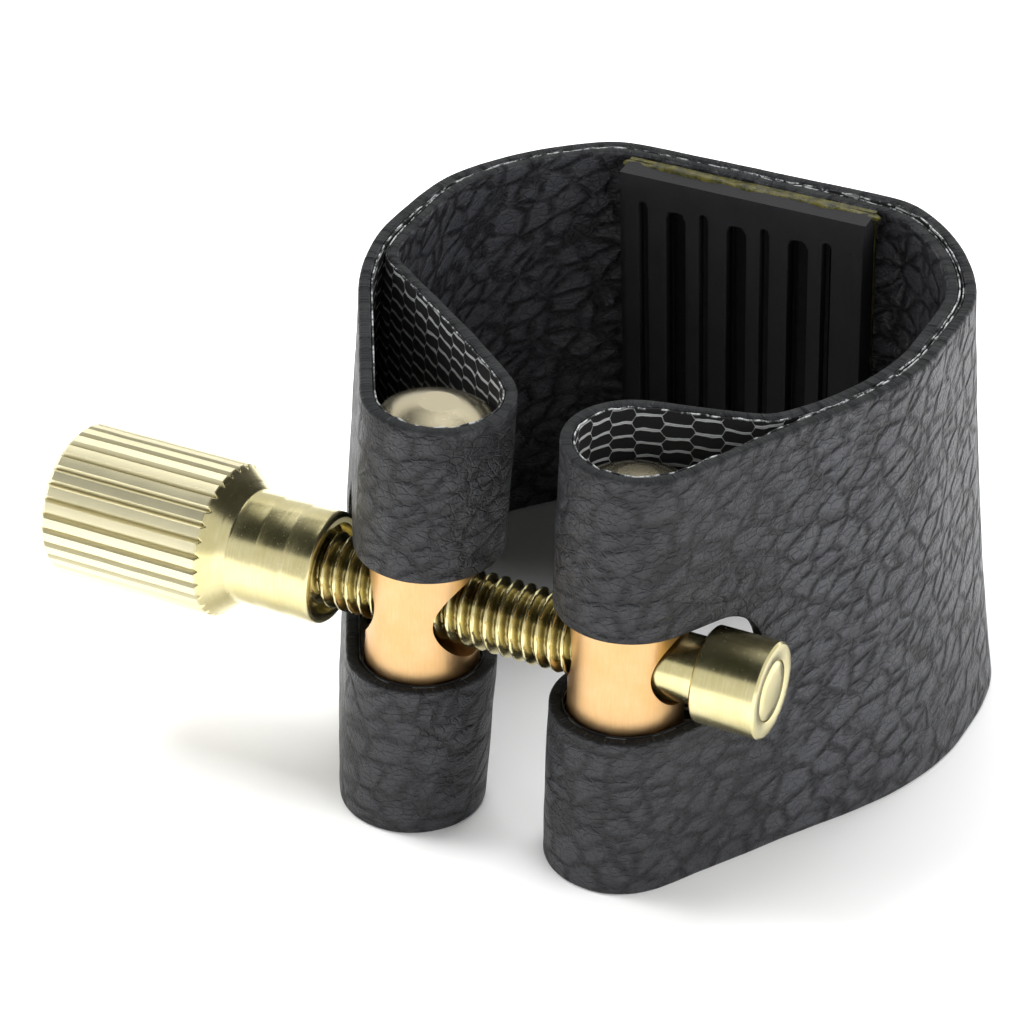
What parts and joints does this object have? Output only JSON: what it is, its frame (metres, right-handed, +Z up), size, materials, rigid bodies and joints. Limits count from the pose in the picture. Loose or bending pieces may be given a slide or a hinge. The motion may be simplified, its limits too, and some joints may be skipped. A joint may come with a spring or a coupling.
{
  "type": "saxophone ligature",
  "caption": "Conical leather ring with a ribbed reed pad, its ends looped round brass barrels and drawn together by a thumb screw to clamp a reed on a mouthpiece.",
  "frame": {"origin": "on the ring's axis in the plane of its lower, wider edge", "axes": "+X along the screw from the thumb knob to the end cap, +Y from the screw to the reed pad, +Z up along the mouthpiece axis"},
  "size_m": [0.0428, 0.0355, 0.0232],
  "materials": {
    "leather": "grained, satin",
    "knit_backing": "knitted net over black",
    "pad_rubber": "moulded, satin",
    "pad_cement": "cured cement, glossy",
    "screw_brass": "turned, bright",
    "barrel_brass": "brushed"
  },
  "bodies": {
    "ring": {"leather_wrap_right": "leather", "mesh_backing_right": "knit_backing", "reed_pad": "pad_rubber", "pad_adhesive": "pad_cement", "right_barrel": "barrel_brass"},
    "left_arm": {"leather_wrap_left": "leather", "mesh_backing_left": "knit_backing"},
    "left_barrel": {"left_barrel": "barrel_brass"},
    "end_cap": {"end_cap": "screw_brass"},
    "screw": {"thumb_knob": "screw_brass", "threaded_rod": "screw_brass"}
  },
  "joints": [
    {"name": "cap_slide", "type": "slide", "parent": "ring", "child": "end_cap", "axis": [1, 0, 0], "range_m": [-0.00105, 0.00385]},
    {"name": "screw_turn", "type": "hinge", "parent": "end_cap", "child": "screw", "pos_m": [0, -0.0153, 0.0116], "axis": [1, 0, 0], "range_deg": [-541, 1981]},
    {"name": "band_flex", "type": "hinge", "parent": "ring", "child": "left_arm", "pos_m": [-0.0089, 0.0127, 0.0116], "axis": [0, 0, 1], "range_deg": [-1.5, 5.5]},
    {"name": "left_barrel_swivel", "type": "hinge", "parent": "left_arm", "child": "left_barrel", "pos_m": [-0.0055, -0.0155, 0.0116], "axis": [0, 0, 1], "range_deg": [-5.5, 1.5]}
  ],
  "couplings": [
    {"joint": "screw_turn", "follows": "cap_slide", "rad_per_m": 8976},
    {"joint": "band_flex", "follows": "cap_slide", "rad_per_m": 24.77},
    {"joint": "left_barrel_swivel", "follows": "cap_slide", "rad_per_m": -24.77}
  ]
}
